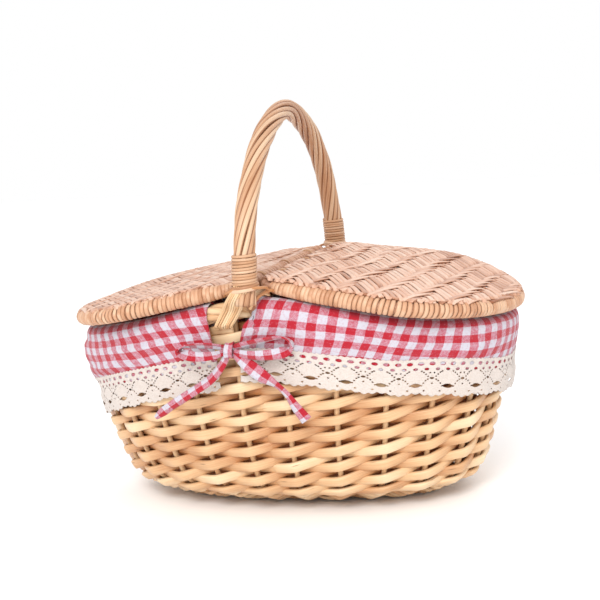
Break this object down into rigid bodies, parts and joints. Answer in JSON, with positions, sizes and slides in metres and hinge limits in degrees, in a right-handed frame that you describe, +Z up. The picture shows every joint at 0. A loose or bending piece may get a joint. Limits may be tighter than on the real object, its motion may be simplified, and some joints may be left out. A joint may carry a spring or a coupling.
{
  "type": "wicker picnic basket",
  "caption": "Oval woven willow picnic basket with a fixed arched handle, two lids hinged at the middle and a folded cotton lining with lace.",
  "frame": {"origin": "middle of the underside, on the surface that the basket stands on", "axes": "+X along the length of the basket towards the right lid's end, +Y to the back, +Z up"},
  "size_m": [0.3924, 0.3066, 0.3417],
  "materials": {
    "peeled_willow": "peeled willow rods, satin varnish",
    "split_willow": "split willow skein, satin varnish",
    "handle_willow": "twisted willow rods, satin varnish",
    "lid_willow": "split willow twill, satin varnish",
    "gingham_cotton": "woven gingham check, matt",
    "cotton_lace": "crochet cotton lace, matt"
  },
  "bodies": {
    "basket": {"base_sticks": "peeled_willow", "base_weave": "peeled_willow", "base_wale": "peeled_willow", "side_stakes": "peeled_willow", "side_weave": "peeled_willow", "top_border": "peeled_willow", "handle_core": "handle_willow", "handle_rods": "handle_willow", "handle_binding_near": "split_willow", "handle_binding_far": "split_willow", "handle_lashing_near": "split_willow", "handle_lashing_far": "split_willow", "crossbar": "peeled_willow", "hinge_loops_left": "split_willow", "hinge_loops_right": "split_willow", "liner": "gingham_cotton", "flap_left": "gingham_cotton", "flap_right": "gingham_cotton", "lace_left": "cotton_lace", "lace_right": "cotton_lace", "bow_near": "gingham_cotton", "bow_far": "gingham_cotton"},
    "lid_left": {"lid_bar_left": "lid_willow", "lid_hoop_left": "lid_willow", "lid_ribs_left": "lid_willow", "lid_weave_left": "lid_willow", "lid_hoop_winding_left": "lid_willow", "lid_bar_winding_left": "lid_willow"},
    "lid_right": {"lid_bar_right": "lid_willow", "lid_hoop_right": "lid_willow", "lid_ribs_right": "lid_willow", "lid_weave_right": "lid_willow", "lid_hoop_winding_right": "lid_willow", "lid_bar_winding_right": "lid_willow"}
  },
  "joints": [
    {"name": "lid_left_hinge", "type": "hinge", "parent": "basket", "child": "lid_left", "pos_m": [-0.008, 0, 0.197], "axis": [0, 1, 0], "range_deg": [0, 88]},
    {"name": "lid_right_hinge", "type": "hinge", "parent": "basket", "child": "lid_right", "pos_m": [0.008, 0, 0.197], "axis": [0, -1, 0], "range_deg": [0, 88]}
  ]
}
